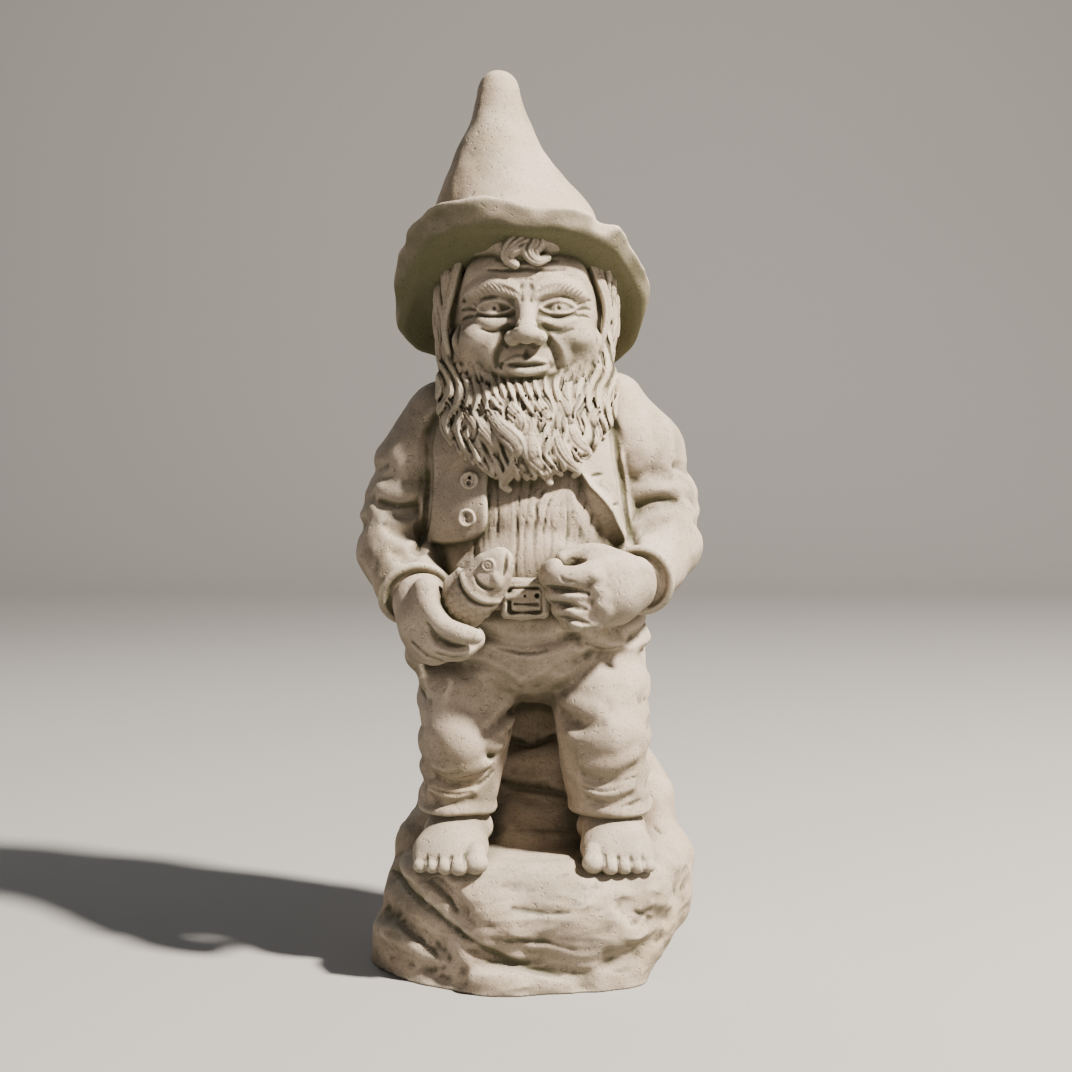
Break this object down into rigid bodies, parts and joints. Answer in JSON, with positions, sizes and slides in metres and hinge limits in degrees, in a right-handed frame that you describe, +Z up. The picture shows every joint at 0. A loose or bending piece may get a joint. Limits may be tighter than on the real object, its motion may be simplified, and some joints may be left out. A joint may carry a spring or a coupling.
{
  "type": "garden gnome statue",
  "caption": "Cast-stone garden gnome in a tall hat, standing barefoot on a rock with a fish in one hand and a rod socket in the other fist.",
  "frame": {"origin": "middle of the flat underside of the rock", "axes": "+Z up through the hat, the gnome faces -Y, +X is to the gnome's left"},
  "size_m": [0.2556, 0.2284, 0.6798],
  "materials": {
    "cast_stone": "weathered, matt, fine-grained",
    "reinforcement": "plain bar, sealed inside the stone"
  },
  "bodies": {
    "root": {"rock_base": "cast_stone", "rear_boulder": "cast_stone", "right_foot": "cast_stone", "left_foot": "cast_stone", "right_trouser_leg": "cast_stone", "left_trouser_leg": "cast_stone", "trouser_seat": "cast_stone", "shirt": "cast_stone", "belt_strap": "cast_stone", "buckle_frame": "cast_stone", "buckle_plate": "cast_stone", "jacket_back": "cast_stone", "jacket_right_front": "cast_stone", "jacket_left_front": "cast_stone", "jacket_lapel": "cast_stone", "jacket_upper_button": "cast_stone", "jacket_lower_button": "cast_stone", "right_sleeve": "cast_stone", "left_sleeve": "cast_stone", "right_hand": "cast_stone", "left_fist": "cast_stone", "fish": "cast_stone", "head": "cast_stone", "right_ear": "cast_stone", "left_ear": "cast_stone", "hair": "cast_stone", "forelock": "cast_stone", "beard": "cast_stone", "hat": "cast_stone", "core_bar": "reinforcement", "right_leg_bar": "reinforcement", "left_leg_bar": "reinforcement"}
  },
  "joints": []
}
